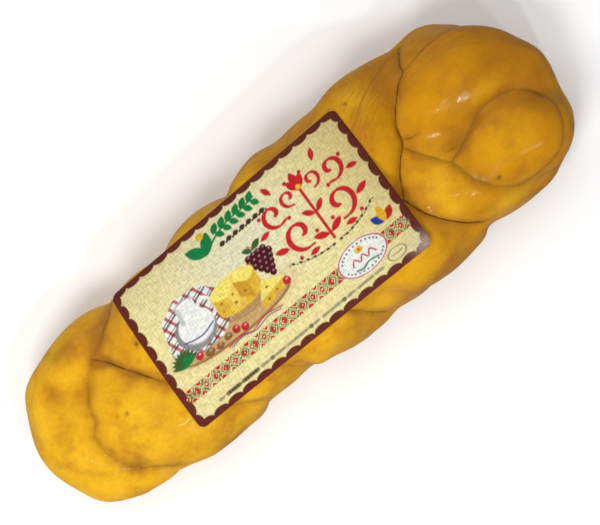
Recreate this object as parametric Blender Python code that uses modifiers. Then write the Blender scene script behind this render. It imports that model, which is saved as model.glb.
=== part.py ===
"""A plaited smoked cheese with a paper label on its back.

Metres, +Z up. The plait runs along X with its knot at +X, the label is on top,
and the flat underside lies at z = 0 with the origin under the middle.
The tables below are in millimetres, and MM turns them into metres.
"""
import math

import bmesh
import bpy

MM = 0.001

# Strands of soft cheese, pressed a little flatter than round
FLATNESS = 0.88
RISE = 8.5                  # how far a strand climbs over its neighbour
LEAN = -0.10                # the +Y lobes lie a little nearer the plain end
POINTS_PER_SWING = 6

# Where the strands swing furthest out, counted along the plait. Whole lobes are
# on the -Y edge and half lobes on the +Y edge: place along X, edge, strand radius
LOBES = {
    -1.0: (-89.0, 31.0, 15.5),
    -0.5: (-71.0, 33.0, 16.5),
    0.0: (-55.0, 35.6, 18.5),
    0.5: (-45.0, 32.0, 17.5),
    1.0: (-29.0, 33.4, 17.0),
    1.5: (-15.5, 35.2, 17.5),
    2.0: (1.0, 37.4, 18.5),
    2.5: (14.0, 37.4, 18.0),
    3.0: (41.0, 38.6, 18.5),
    3.5: (52.5, 38.6, 20.3),
    4.0: (72.0, 35.5, 17.0),
    4.5: (84.0, 34.0, 15.0),
}
LOBES_PER_SWING = 1.5

AXIS_HEIGHT_RATIO = 0.66    # height of a strand's middle at a lobe over the reach of that lobe's edge

# Body under the crossings, where the strands have fused: place along X, half width, height.
# It is three long cores side by side, one at each edge and one in the middle.
CORE = [(-78, 27, 22.0), (-50, 29.5, 22.0), (0, 32, 22.8), (27, 36.5, 23.2), (42, 35.5, 23.6), (74, 28, 22)]
CORE_FLATNESS = 0.94
CORE_RADIUS = 0.58          # radius of a core over the half width of the body

# The underside of the round strands is cut flat this far up
BASE_CUT = 2.0
FLOOR_BLOCK = (300.0, 120.0, 20.0)


def lobe_point(lobe):
    """Centre of the strand at one lobe: x, y, z, radius."""
    x, edge, radius = LOBES[lobe]
    side = -1 if lobe == math.floor(lobe) else 1
    height = AXIS_HEIGHT_RATIO * edge
    return (x, side * (edge - radius), height, radius)


def swing(lobe, first=0.0, last=1.0):
    """A strand's points on its way from one lobe to the next one across."""
    start = lobe_point(lobe)
    end = lobe_point(lobe + LOBES_PER_SWING)
    points = []
    count = round((last - first) * POINTS_PER_SWING)
    for i in range(count + 1):
        part = first + (last - first) * i / count
        blend = (1 - math.cos(math.pi * part)) / 2
        y = start[1] * (1 - blend) + end[1] * blend
        x = start[0] * (1 - part) + end[0] * part + LEAN * y
        z = start[2] * (1 - part) + end[2] * part - RISE * math.sin(2 * math.pi * part)
        radius = start[3] * (1 - part) + end[3] * part
        points.append((x, y, z, radius))
    return points


def swings(lobe, count):
    """A strand's points over several swings, without repeating the lobes."""
    points = swing(lobe)
    for i in range(1, count):
        points += swing(lobe + i * LOBES_PER_SWING)[1:]
    return points


# Every strand is a list of points: x, y, height of its centre, radius
LOOP = [(-84, 14.5, 21.5, 16), (-92, 9.5, 21, 15.5), (-97.0, 0, 21.5, 15.5), (-94.0, -8.5, 21, 15.5)]
STRANDS = {
    "middle_strand": [(-83, 6, 23, 12.5), (-78, -2, 28, 17.0), (-68, -13, 27, 18.5)]
                     + swings(0.0, 2) + swing(3.0)[1:] + [(93, 9, 19, 12.5)],
    "loop_strand": swings(-0.5, 2)[::-1] + LOOP + swings(-1.0, 3) + [(70, 16.5, 18, 18.5), (84, 8, 15.5, 16)],
    "crossing_strand": swing(2.5) + [(86, -14, 19, 15)],
    "knot_crescent": [(60, 4, 32, 11), (67, 10, 33.5, 15), (79, 13.5, 34.5, 17), (89.5, 10.5, 32.5, 16),
                      (99, 2, 29, 13), (100.5, -8, 24, 10), (96.8, -20.5, 21, 9.2)],
    "knot_rim": [(53, -5, 29, 11), (57, -14, 30, 13), (66, -23, 25, 12), (80, -27, 20, 9.5),
                 (94, -22.5, 19, 9)],
    "knot_ball": [(78, -14.5, 34, 14.5), (89, -16.5, 33, 15)],
    "knot_back": [(76, 24, 21, 11.5), (82, 23.5, 19, 12.5), (88, 20.5, 17, 11)],
}

# Paper label, 100 x 60 mm: corners from above, in turn from the plain end's -Y side
LABEL_CORNERS = [(-60.5, -24.6), (39.7, -25.2), (42.6, 31.1), (-56.2, 29.9)]
LABEL_CORNER_RADIUS = 2.5
LABEL_THICKNESS = 0.3
LABEL_GAP = 0.3             # clear film and air between the cheese and the paper
LABEL_MARGIN = 0.5          # how far the pressed flat under the label reaches past it
LABEL_CLEARANCE = 8.0       # height kept free over that flat
LABEL_STEPS_X = 14
LABEL_STEPS_Y = 18

# Arched surface that the label lies on: values at the plain end and at the knot end
ARCH_X = (-60.0, 45.0)
ARCH_TOP = (42.6, 49.0)
ARCH_HALF_WIDTH = (33.0, 39.5)
ARCH_HEIGHT = 23.0
ARCH_POWER = 2.4

# Fused surface
VOXEL = 1.0
SMOOTHING = 20
KEPT_TRIANGLES = 0.075
WELD = 0.001                # distance within which doubled points are one


def arch(x, y):
    """Height of the label's underside above the floor."""
    along = (x - ARCH_X[0]) / (ARCH_X[1] - ARCH_X[0])
    top = ARCH_TOP[0] * (1 - along) + ARCH_TOP[1] * along
    width = ARCH_HALF_WIDTH[0] * (1 - along) + ARCH_HALF_WIDTH[1] * along
    reach = min(abs(y) / width, 1)
    return top - ARCH_HEIGHT * (1 - (1 - reach ** ARCH_POWER) ** (1 / ARCH_POWER))


def new_collection(name):
    collection = bpy.data.collections.new(name)
    bpy.context.scene.collection.children.link(collection)
    return collection


def material(name, colour, roughness, coat=0.0):
    made = bpy.data.materials.new(name)
    made.use_nodes = True
    shader = made.node_tree.nodes["Principled BSDF"]
    shader.inputs["Base Color"].default_value = (*colour, 1.0)
    shader.inputs["Roughness"].default_value = roughness
    shader.inputs["Metallic"].default_value = 0.0
    shader.inputs["Coat Weight"].default_value = coat
    return made


def smooth_route(points, steps=4):
    """A closer row of points on a smooth curve through the given ones."""
    ends = [tuple(2 * a - b for a, b in zip(points[0], points[1])),
            tuple(2 * a - b for a, b in zip(points[-1], points[-2]))]
    row = [ends[0]] + list(points) + [ends[1]]
    route = []
    for before, start, end, after in zip(row, row[1:], row[2:], row[3:]):
        for i in range(steps):
            t = i / steps
            route.append(tuple(
                0.5 * (2 * b + (c - a) * t + (2 * a - 5 * b + 4 * c - d) * t ** 2
                       + (3 * b - a - 3 * c + d) * t ** 3)
                for a, b, c, d in zip(before, start, end, after)))
    return route + [points[-1]]


def tube(name, points, flatness, collection):
    """A round strand through the points, flattened in height."""
    curve = bpy.data.curves.new(name, "CURVE")
    curve.dimensions = "3D"
    curve.bevel_depth = MM
    curve.bevel_resolution = 4
    curve.use_fill_caps = True
    route = smooth_route(points)
    spline = curve.splines.new("POLY")
    spline.points.add(len(route) - 1)
    for point, (x, y, z, radius) in zip(spline.points, route):
        point.co = (x * MM, y * MM, z * MM / flatness, 1)
        point.radius = radius
    strand = bpy.data.objects.new(name, curve)
    strand.scale.z = flatness
    collection.objects.link(strand)
    return strand


def curve_mesh(strand):
    """The strand as a closed mesh in world space, in place of its curve."""
    bpy.context.view_layer.update()
    evaluated = strand.evaluated_get(bpy.context.evaluated_depsgraph_get())
    mesh = bpy.data.meshes.new_from_object(evaluated)
    mesh.transform(strand.matrix_world)
    shape = bmesh.new()
    shape.from_mesh(mesh)
    bpy.data.objects.remove(strand)
    bmesh.ops.remove_doubles(shape, verts=shape.verts, dist=WELD * MM)
    return shape, mesh


def add_ball(shape, point, flatness):
    """A round end on a strand."""
    x, y, z, radius = point
    made = bmesh.ops.create_uvsphere(shape, u_segments=24, v_segments=16, radius=radius * MM)
    bmesh.ops.scale(shape, vec=(1, 1, flatness), verts=made["verts"])
    bmesh.ops.translate(shape, vec=(x * MM, y * MM, z * MM), verts=made["verts"])


def strand_shapes(collection):
    """All the strands and the core in one mesh, still as separate bodies."""
    whole = bmesh.new()
    cores = {name: [(x, side * width * (1 - CORE_RADIUS), z, width * CORE_RADIUS) for x, width, z in CORE]
             for name, side in (("near_core", -1), ("far_core", 1), ("middle_core", 0))}
    for name, points in {**STRANDS, **cores}.items():
        flatness = CORE_FLATNESS if name in cores else FLATNESS
        shape, mesh = curve_mesh(tube(name, points, flatness, collection))
        add_ball(shape, points[0], flatness)
        add_ball(shape, points[-1], flatness)
        shape.to_mesh(mesh)
        shape.free()
        whole.from_mesh(mesh)
        bpy.data.meshes.remove(mesh)
    return whole


def cutter(name, mesh, collection):
    made = bpy.data.objects.new(name, mesh)
    made.hide_render = True
    made.display_type = "WIRE"
    collection.objects.link(made)
    return made


def floor_cutter(collection):
    """A block under z = 0 that leaves the cheese a flat base."""
    shape = bmesh.new()
    bmesh.ops.create_cube(shape, size=1.0)
    bmesh.ops.scale(shape, vec=[side * MM for side in FLOOR_BLOCK], verts=shape.verts)
    bmesh.ops.translate(shape, vec=(0, 0, -FLOOR_BLOCK[2] * MM / 2), verts=shape.verts)
    mesh = bpy.data.meshes.new("floor_cutter")
    shape.to_mesh(mesh)
    shape.free()
    return cutter("floor_cutter", mesh, collection)


def label_sheet(name, height, margin):
    """The label's outline, grown by a margin, as a curved sheet over its resting arch."""
    shape = bmesh.new()
    bmesh.ops.create_grid(shape, x_segments=LABEL_STEPS_X, y_segments=LABEL_STEPS_Y, size=0.5)
    corners = [v for v in shape.verts if len(v.link_edges) == 2]
    bl, br, tr, tl = ((x + margin * sx, y + margin * sy) for (x, y), (sx, sy)
                      in zip(LABEL_CORNERS, ((-1, -1), (1, -1), (1, 1), (-1, 1))))
    for vertex in shape.verts:
        u = vertex.co.x + 0.5
        v = vertex.co.y + 0.5
        x, y = ((bl[i] * (1 - u) + br[i] * u) * (1 - v) + (tl[i] * (1 - u) + tr[i] * u) * v for i in (0, 1))
        vertex.co = (x * MM, y * MM, (arch(x, y) + height) * MM)
    bmesh.ops.bevel(shape, geom=corners, offset=LABEL_CORNER_RADIUS * MM, segments=3,
                    profile=0.5, affect="VERTICES")
    mesh = bpy.data.meshes.new(name)
    shape.to_mesh(mesh)
    shape.free()
    mesh.shade_smooth()
    return mesh


def solidify(thing, thickness):
    """Thickens a sheet upward from where it lies."""
    thick = thing.modifiers.new("Thickness", "SOLIDIFY")
    thick.thickness = thickness * MM
    thick.offset = 1.0


def subtract(thing, tool):
    cut = thing.modifiers.new("Cut " + tool.name, "BOOLEAN")
    cut.operation = "DIFFERENCE"
    cut.object = tool


def build_cheese(parts, cutters):
    whole = strand_shapes(parts)
    mesh = bpy.data.meshes.new("cheese")
    bmesh.ops.translate(whole, vec=(0, 0, -BASE_CUT * MM), verts=whole.verts)
    whole.to_mesh(mesh)
    whole.free()
    cheese = bpy.data.objects.new("cheese", mesh)
    parts.objects.link(cheese)
    fuse = cheese.modifiers.new("Fuse the strands", "REMESH")
    fuse.mode = "VOXEL"
    fuse.voxel_size = VOXEL * MM
    fuse.use_smooth_shade = True
    press = cheese.modifiers.new("Press the creases", "SMOOTH")
    press.factor = 0.5
    press.iterations = SMOOTHING
    thin = cheese.modifiers.new("Fewer triangles", "DECIMATE")
    thin.ratio = KEPT_TRIANGLES
    subtract(cheese, floor_cutter(cutters))
    clearance = cutter("label_clearance", label_sheet("label_clearance", -LABEL_GAP, LABEL_MARGIN), cutters)
    solidify(clearance, LABEL_CLEARANCE)
    subtract(cheese, clearance)
    cheese.data.materials.append(material("smoked_cheese", (0.62, 0.33, 0.04), 0.35, coat=0.5))
    return cheese


def build_label(parts):
    label = bpy.data.objects.new("label", label_sheet("label", 0.0, 0.0))
    parts.objects.link(label)
    solidify(label, LABEL_THICKNESS)
    label.data.materials.append(material("label_paper", (0.86, 0.78, 0.55), 0.5))
    return label


def main():
    for thing in list(bpy.data.objects):
        bpy.data.objects.remove(thing)
    parts = new_collection("braided_smoked_cheese")
    cutters = new_collection("cutters")
    build_cheese(parts, cutters)
    build_label(parts)


main()
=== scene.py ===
"""The looks of a plaited smoked cheese with a paper label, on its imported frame.

Places are in millimetres in the frame's own axes and MM turns them into metres:
+X along the plait to the knot, +Y to the far edge, +Z up through the label.
"""
import math

import bmesh
import bpy
import numpy as np
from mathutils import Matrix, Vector
from mathutils.bvhtree import BVHTree


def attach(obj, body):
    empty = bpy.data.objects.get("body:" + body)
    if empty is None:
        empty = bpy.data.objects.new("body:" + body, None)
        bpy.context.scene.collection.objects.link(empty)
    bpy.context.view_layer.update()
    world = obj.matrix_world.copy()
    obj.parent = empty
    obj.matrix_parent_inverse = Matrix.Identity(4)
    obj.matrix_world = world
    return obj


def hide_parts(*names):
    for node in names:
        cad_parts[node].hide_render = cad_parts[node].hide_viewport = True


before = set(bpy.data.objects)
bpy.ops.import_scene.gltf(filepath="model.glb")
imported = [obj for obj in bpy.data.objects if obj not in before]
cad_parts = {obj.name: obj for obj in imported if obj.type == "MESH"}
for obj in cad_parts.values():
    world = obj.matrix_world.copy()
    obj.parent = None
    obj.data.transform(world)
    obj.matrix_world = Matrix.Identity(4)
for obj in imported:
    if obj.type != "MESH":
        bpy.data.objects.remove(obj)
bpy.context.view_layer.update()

MM = 0.001
TINY = 1e-9  # keeps a division from failing
FAR = 9.0  # a distance that counts as out of reach

# ---- camera
IMAGE_WIDTH = 600  # pixels
SENSOR = 36  # width
CAMERA_HEIGHT = 720  # over the floor
MIDDLE_HEIGHT = 25  # of the cheese, where the outline is seen
PIXELS_PER_MM = 2.9  # at that height
CAMERA_XY = (1.1, -2)
CAMERA_ROLL = -39.5  # degrees: the plait runs up to the right

# ---- cheese skin
VOXEL = 0.86  # spacing of the skin's points
FACET_SMOOTHING = 12
PRESS_STEPS = 90  # by which the valleys between strands fill up
FRESH_NORMALS = 15  # steps after which the way outward is found again
SINKING = 0.02  # share of an inward move that is let through
RISE_BLUR = 6
VALLEY_KEPT = 0.6  # share of a valley's depth that stays
FLUSH_SHARE = 0.8  # share of that depth that goes where strands are flush
DEEP_VALLEY = 4  # depth at which a valley's painted shade is at its darkest
STEEP_VALLEY = 0.5  # upward part of the normal below which a valley's painted shade grows darker
STEEP_FLANK = 0.55  # the same for the painted shade on a flank
FLANK_START = (-78, -58)  # places along X over which the painted shade on flanks starts
FLANK_SIDES = (15, -5)  # places along Y over which that painted shade grows darker
FLANK_LEAST = 0.1  # share of that painted shade on the far side
BASE_LIP = 0.6  # height up to which the pressed base keeps its shape

# Creases as seen from above, projected to the middle height:
# channel, depth, reach of its soft shoulders, darkness and width of its painted shade line, strength of the
# painted brown shade beside it, points
CREASES = {
    "far_fold": (0, 1, 4.5, 0.14, 0.9, 0.6, [
        (-57.4, 28.8), (-63.8, 25.3), (-68.1, 22.9), (-72.3, 19.8), (-75.3, 17.6)]),
    "loop_edge": (1, 1, 4.5, 0.15, 0.8, 0.65, [
        (-75.3, 17.6), (-79.8, 14.9), (-84.1, 10.1), (-87.3, 5.9), (-88.9, 0.5), (-92.1, -2.7),
        (-92.9, -6.9), (-92.1, -11.2), (-90.5, -16.5), (-88.3, -20.3), (-84, -24), (-78, -28.3),
        (-73.9, -30.7)]),
    "loop_dent": (2, 0.6, 4, 0.05, 1.2, 0.3, [(-107.5, -2.7), (-104.3, -9.1), (-100, -13.9), (-95, -17.6)]),
    "middle_fold": (2, 1.6, 4, 0.7, 0.6, 0.8, [
        (-75.3, 17.6), (-72.3, 13.4), (-70.4, 9.6), (-67, 4.3), (-63.8, -0.5), (-60.5, -5)]),
    "near_fold_1": (0, 1, 4, 0.15, 0.7, 0.45, [
        (-50, -24.5), (-47.7, -25.8), (-43.3, -28.4), (-39.9, -30.6), (-35.5, -32.3)]),
    "near_fold_2": (1, 1.1, 4, 0.25, 0.5, 0.45, [
        (-28, -24), (-24.3, -27.5), (-21.7, -30.1), (-19.5, -31.4)]),
    "near_fold_3": (0, 1.4, 4, 0.4, 0.45, 0.5, [
        (1, -23), (4.3, -26.2), (6.9, -28.4), (9.5, -31.4), (13, -34.5), (16.9, -35.8)]),
    "far_fold_3": (0, 1, 3, 0.3, 0.5, 0.35, [(0.2, 33.7), (-3, 31.6)]),
    "far_fold_4": (1, 1, 3, 0.3, 0.5, 0.35, [(28.6, 35.5), (25.5, 34.3), (20.5, 31)]),
    "far_seam": (1, 0.35, 1.6, 0.3, 0.3, 0.2, [
        (73.6, 33.2), (68.6, 32.8), (64.1, 31.6), (58.5, 30), (54, 28), (49.6, 25.5), (45.6, 23), (42, 20)]),
    "knot_edge": (0, 1.5, 3, 0.85, 0.36, 0.35, [
        (74.2, 34.2), (70.8, 30), (69.7, 27), (66.4, 24.9), (62.4, 20.7), (59.1, 16.2), (56.8, 11.8),
        (55.7, 7.8), (54, 5.6), (50.1, 2.2), (46.2, -2.2), (42.7, -7.7)]),
    "knot_edge_near": (2, 1.7, 3, 1, 0.42, 0.4, [
        (42.7, -7.7), (44, -11.8), (45.6, -16.2), (47.9, -20.2), (50.7, -24.6), (54.6, -29.4), (58.5, -31.9),
        (61.8, -32.8)]),
    "back_edge": (1, 0.9, 2.6, 0.35, 0.35, 0.3, [
        (69.6, 26.8), (74.2, 27.3), (79.8, 28.3), (86.5, 28.5), (91, 27.6), (95.2, 26.3)]),
    "crescent_edge": (2, 1.1, 3, 0.4, 0.4, 0.4, [
        (54, 5.6), (56.8, 1.1), (59.6, -2.8), (61.9, -6.2), (64.1, -8.4)]),
    "ball_edge": (1, 1.2, 3.4, 0.3, 0.5, 0.6, [
        (66, -19), (65.3, -16), (64.5, -11.2), (64.1, -8.4), (69, -6.6), (75.3, -3.4), (79.8, -2),
        (85.4, -1.2), (91, -1.6), (96, -3), (100.3, -6), (103, -10)]),
    "ball_edge_low": (0, 0.75, 3.2, 0.22, 0.6, 0.6, [
        (103, -10), (104.4, -16), (102.8, -21.8), (99.4, -26.3), (95.5, -29.4), (90.5, -30.6), (85.4, -31),
        (79.8, -30.8), (75.3, -29.2), (70.8, -25.6), (67.5, -20.9), (66, -18)]),
    "wrinkle_1": (1, 0.3, 1.2, 0.45, 0.35, 0.25, [(55.7, 7.8), (58.5, 6.7), (63, 5.9)]),
    "wrinkle_2": (0, 0.5, 1.4, 0.7, 0.4, 0.35, [(63.5, -4.6), (66.5, -5.2), (70, -5.4)]),
}
CHANNELS = 3
CREASE_MARGIN = 3  # times its reach, beyond which a crease has no effect
SHOULDER_FALL = 0.45  # share of the reach over which a groove shallows
END_FADE = 12  # steps over which the free end of a crease fades out
END_SLACK = 0.4  # how far a dark line runs on past its end
MEETING = 1.5  # distance at which one crease runs into another
HALO_REACH = 2.6  # how far the painted brown shade beside a crease spreads
HALO_POWER = 1.5  # how sharply it ends

# Raised folds of the clear film: height, width of the painted glint line along it, strength of that glint,
# points
FILM_FOLDS = [
    (0.15, 0.3, 0.8, [(48.8, -12.9), (53, -12.4), (57, -12.8), (62, -12.9)]),
    (0.12, 0.45, 0.5, [(-106.5, 6), (-104.8, 12), (-101.5, 18), (-97, 22.5)]),
    (0.35, 0.45, 1, [(-99.2, -5.6), (-98, -8.8), (-95.4, -12.2), (-91.6, -15)]),
    (0.28, 0.35, 0.8, [(-104.2, -1), (-102.4, -6.4), (-99.6, -11)]),
    (0.28, 0.35, 0.9, [(-94.4, -14.6), (-90, -19.6), (-84.6, -23)]),
    (0.28, 0.35, 0.9, [(-68.6, -17.6), (-65, -19.6), (-61.6, -19)]),
    (0.12, 0.3, 0.6, [(62.2, -14), (63, -19), (65.4, -24.4)]),
    (0.1, 0.3, 0.4, [(66, 24.2), (70, 26.2), (74, 26.6), (80, 27.6)]),
    (0.1, 0.3, 0.35, [(40.6, 8.6), (42.4, 7.4), (44.2, 5.2)]),
    (0.2, 0.5, 1, [(-86.6, 1.2), (-85.2, -0.4), (-84.4, -1.8)]),
    (0.2, 0.5, 0.9, [(-92.8, -8.8), (-91.9, -10.6), (-91.6, -12.4)]),
]
FOLD_MARGIN = 3  # distance beyond which a fold has no effect
FOLD_WIDTH = 0.8  # width of the raised ridge
FOLD_FADE = 4  # steps over which its painted glint line fades at its ends

# Families of fibres drawn out along the strands: half width, strength, middle line
FIBRES = [
    (10, 0.85, [(36, 16), (44, 21.5), (52, 26), (62, 29.5), (73, 31.5)]),
    (6, 0.9, [(66, 24), (74, 25), (84, 25), (93, 22), (100, 16), (105, 8)]),
    (3.4, 0.8, [(76, 33), (82, 32.2), (88, 30.6), (94, 28.3)]),
    (7, 0.5, [(30, -30), (40, -33), (50, -33), (60, -33)]),
    (6, 0.5, [(-72, 26), (-64, 28), (-56, 31), (-50, 33)]),
    (5, 0.6, [(-20, 33), (-4, 35), (8, 36), (20, 34)]),
]
FIBRE_STEP = 0.8
FIBRE_FADE = 5  # steps over which they fade at the ends of the line
FIBRE_PAST = (3, 1)  # distances past its ends at which they are gone, and still whole
FIBRE_UPWARD = (0.15, 0.5)  # upward part of the normal over which fibres appear

# Small pits and dark specks: place, radius, depth, darkness
PITS = [
    (72.8, -23.2, 0.8, 0.35, 0.85), (79.5, -30, 0.6, 0.2, 0.7), (47.8, 30.5, 0.8, 0.2, 0.8),
    (50.6, 22.1, 0.4, 0.1, 0.5), (-78.2, -4.3, 0.7, 0.4, 0.85), (-78.2, 1.1, 1.6, 0.4, 0.3),
    (-60.3, 12.3, 0.9, 0.3, 0.9), (-81.2, -2.9, 0.3, 0.1, 0.4), (-63.5, 7, 0.7, 0.1, 0.35),
]

# Browner patches: partly smoke stains, partly painted shade along the rims and in the folds: place, size
# along X and Y, strength
STAIN_AND_SHADE_PATCHES = [
    (-93.5, 16, 3, 5.5, 0.58), (-99, 4, 5, 4, 0.22), (-81.5, 25, 4, 3, 0.5), (-86, -20.5, 5, 3.5, 0.3),
    (-74, -27, 6, 3, 0.35), (-55, -33.5, 8, 2.6, 0.65), (-66, 24.5, 8, 4, 0.6), (-88, 28.5, 9, 3, 0.35),
    (36, -36, 10, 2.2, 0.75), (97, -13, 6, 6, 0.35), (82, 10, 5, 3, 0.12), (97, 9, 7, 9, 0.4),
    (63, 24, 6, 6, 0.4), (84, 21, 12, 5, 0.18), (47, -18, 3, 8, 0.35), (1, -31, 6, 3, 0.3),
    (-60, -30, 6, 3, 0.3), (-28, -30, 9, 3, 0.3), (104, 0, 4, 12, 0.35), (-70, 5, 4, 7, 0.35),
    (-66, 15, 4, 7, 0.35), (-84, 24, 12, 5, 0.25), (-4, -34, 8, 2.2, 0.55), (-91, -8, 2.5, 5, 0.35),
    (-74.5, 16, 3, 3, 0.65), (102, -17, 4, 9, 0.3), (85, 23, 14, 5, 0.22), (93, -2, 6, 2, 0.25),
]
PATCH_HEIGHT = 1.5  # of a patch or a paler place, over its larger size

# Paler places: partly where the smoke took less, partly painted light on lit humps and against the shade in
# folds: place, size along X and Y, strength
PALE_AND_LIT_SPOTS = [
    (-104, 4, 4, 12, 0.8), (-98, -20, 7, 5, 0.35), (-76, -6, 7, 8, 0.45), (55, -13, 7, 9, 0.48),
    (52, -22, 6, 5, 0.3), (70, -31.5, 12, 3, 0.5), (85, 3, 9, 3, 0.35), (60, -4, 4, 5, 0.35),
    (32, -30, 9, 3, 0.2), (45, -1, 3, 6, 0.25), (84, -14, 9, 8, 0.3), (52, 30, 7, 5, 0.5),
    (12, -31, 6, 4, 0.6), (-97, 12, 5, 4, 0.5),
]

# Where the film stands off the cheese and shines, or clings and is dull: place, radius, strength
SHINE = [
    (80.5, 4, 6, 1), (-97.5, -8.5, 5, 1.2), (-68, -10.5, 4, 1), (-66, -20, 6, 1), (-91.5, -17, 4, 0.7),
    (53, -11, 5, 0.8), (62.5, -19, 4, 0.8), (-105, 14, 5, 1), (20, -30, 6, 1), (64, 2.5, 4, 0.7),
    (86, -17, 11, -0.6),
]

# Places where the strands have fused flush: place and radius
FLUSH = [(100, -24, 13), (90, -31, 10), (105, -10, 8)]

# Where the flanks bulge a little further out, or less: place, radius, how far
BULGES = [
    (-78, -29.5, 6, 2), (-65, -33, 7, 0.9), (-41, -31.5, 5.5, 1.9), (-15, -31, 4.5, 1.9), (13, -35, 7, 1.3),
    (26, -35.5, 8, 1.2), (56, -34, 4.5, 1.7), (89, -34, 7, 1.4), (99, -28.5, 6.5, 1.2), (106, -20, 6, 1.8),
    (109, 10, 6, -0.9), (-103, -21, 8, 1.8), (-99, 22.5, 8.5, 1.8),
]

# Colours of the cheese, in linear light
YELLOW_PLAIN_END = (0.78, 0.425, 0.014)
YELLOW_KNOT_END = (0.53, 0.228, 0.004)
AMBER_PLAIN_END = (0.56, 0.245, 0.008)
AMBER_KNOT_END = (0.385, 0.143, 0.003)
# browns the smoke patches and fibres, and also paints the shade in valleys, on flanks and beside creases
SMOKE_AND_SHADE_BROWN = (0.36, 0.145, 0.012)
# darkens the pits, and paints the shade in the creases
CREASE = (0.105, 0.036, 0.006)
# pales the cheese where it took less smoke, and also paints light
PALE_AND_LIT_CHEESE = (0.82, 0.475, 0.018)
# paints the glints along the film's folds
FOLD_GLINT = (0.9, 0.66, 0.3)

# ---- label
LABEL_LENGTH = 100
LABEL_WIDTH = 60
LABEL_ROUND = 2.5  # radius of its corners
LABEL_THICKNESS = 0.2
LABEL_STEP = 0.27  # spacing of the printed surface's points
LABEL_CORNERS = [(-60.5, -24.6), (39.7, -25.2), (42.6, 31.1), (-56.2, 29.9)]
LABEL_MIDDLE = (-8.6, 2.8)
LABEL_LIFT = 0.65  # share of a gap under the paper that the film draws the cheese across
LIFT_BLUR = 14
PAPER_CLEARANCE = 0.35  # gap asked for between the cheese and the CAD paper's underside
PAPER_ZONE = 24  # only cheese above this height can meet the paper
BELOW_PAPER = 20  # heights from which the paper is looked for
ABOVE_PAPER = 90
# How far a place just outside the paper is drawn inward to find it, and how much higher
# the cheese may be there
PAPER_SEARCH = ((1, 0), (0.995, 0), (0.988, 0.1), (0.98, 0.3), (0.97, 0.6))
# How far a place on its rim is drawn inward to find its top
RIM_SEARCH = (1, 0.997, 0.99, 0.98, 0.97)
ARC_SAMPLES = 120

# ---- stage
FLOOR_SIZE = 2  # metres
FLOOR_DROP = 0.0002  # metres, so that it doesn't touch the base
FLOOR_COLOUR = (0.93, 0.93, 0.93)
SKY_COLOUR = (1, 1, 1, 1)
SKY_STRENGTH = 0.26

# Lamps, in metres and watts: place, target, size, power, and whether the film mirrors it
LAMPS = {
    "key": ((-0.3, -0.16, 0.62), (0, 0, 0.02), (0.24, 0.2), 2.6, False),
    "glint": ((-0.06, -0.34, 0.58), (0, 0, 0.02), (0.035, 0.035), 0.62, True),
    "knot_glint": ((0.12, -0.42, 0.5), (0.06, 0, 0.02), (0.035, 0.035), 0.4, True),
    "top": ((0.06, 0.28, 0.84), (0, 0, 0.02), (0.6, 0.6), 2.6, False),
    "back": ((0, 0.75, 0.3), (0, 0, 0.02), (1.2, 0.3), 0.9, True),
}


# ==== helpers
def ramp(values, start, stop):
    """0 before start, 1 past stop and straight in between; start may be the larger."""
    return np.clip((values - start) / (stop - start), 0, 1)


def add_object(name, data):
    made = bpy.data.objects.new(name, data)
    bpy.context.collection.objects.link(made)
    return made


class Look:
    """A procedural material with one main shader, and short ways to write its nodes."""

    def __init__(self, name):
        self.material = bpy.data.materials.new(name)
        self.material.use_nodes = True
        self.tree = self.material.node_tree
        self.tree.nodes.clear()
        self.shader = self.add("BsdfPrincipled")
        self.add("OutputMaterial", {"Surface": self.shader.outputs[0]})

    def add(self, kind, sockets=None, **settings):
        """A new node with its settings and sockets."""
        node = self.tree.nodes.new("ShaderNode" + kind)
        for key, value in settings.items():
            setattr(node, key, value)
        self.fill(node, sockets or {})
        return node

    def fill(self, node, sockets):
        """Sockets by name or number, each with a plain value or the output to link."""
        for key, value in sockets.items():
            if isinstance(value, bpy.types.NodeSocket):
                self.tree.links.new(value, node.inputs[key])
            elif node.inputs[key].type == "RGBA":
                node.inputs[key].default_value = (*value, 1)
            else:
                node.inputs[key].default_value = value

    def math(self, operation, a, b=0, clamp=False):
        return self.add("Math", {0: a, 1: b}, operation=operation, use_clamp=clamp).outputs[0]

    def plus(self, a, b, clamp=False):
        return self.math("ADD", a, b, clamp)

    def times(self, a, b, clamp=False):
        return self.math("MULTIPLY", a, b, clamp)

    def noise(self, vector, scale, detail, roughness):
        sockets = {"Vector": vector, "Scale": scale, "Detail": detail, "Roughness": roughness}
        return self.add("TexNoise", sockets).outputs["Fac"]

    def spread(self, value, low, high, to_low, to_high):
        """Spreads a range of values over another one, with soft ends."""
        sockets = {"Value": value, "From Min": low, "From Max": high, "To Min": to_low, "To Max": to_high}
        return self.add("MapRange", sockets, interpolation_type="SMOOTHSTEP").outputs["Result"]

    def mix(self, factor, a, b):
        node = self.add("Mix", {"Factor": factor}, data_type="RGBA")
        first, second = (i for i, socket in enumerate(node.inputs) if socket.type == "RGBA")
        self.fill(node, {first: a, second: b})
        return next(socket for socket in node.outputs if socket.type == "RGBA")

    def layer(self, name, output="Fac"):
        return self.add("Attribute", attribute_name=name).outputs[output]

    def bump(self, height, distance, strength, below=None):
        sockets = {"Height": height, "Distance": distance, "Strength": strength}
        if below:
            sockets["Normal"] = below
        return self.add("Bump", sockets).outputs["Normal"]


# ==== cheese skin
def smooth_line(points, step=0.4):
    """Close points along a smooth curve through the given ones, as an array."""
    ctrl = np.array(points, float)
    ctrl = np.vstack([2 * ctrl[0] - ctrl[1], ctrl, 2 * ctrl[-1] - ctrl[-2]])
    row = []
    for a, b, c, d in zip(ctrl, ctrl[1:], ctrl[2:], ctrl[3:]):
        count = max(1, int(np.linalg.norm(c - b) / step))
        for t in np.arange(count) / count:
            row.append(0.5 * (2 * b + (c - a) * t + (2 * a - 5 * b + 4 * c - d) * t ** 2
                              + (3 * b - a - 3 * c + d) * t ** 3))
    row.append(ctrl[-2])
    return np.array(row)


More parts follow.
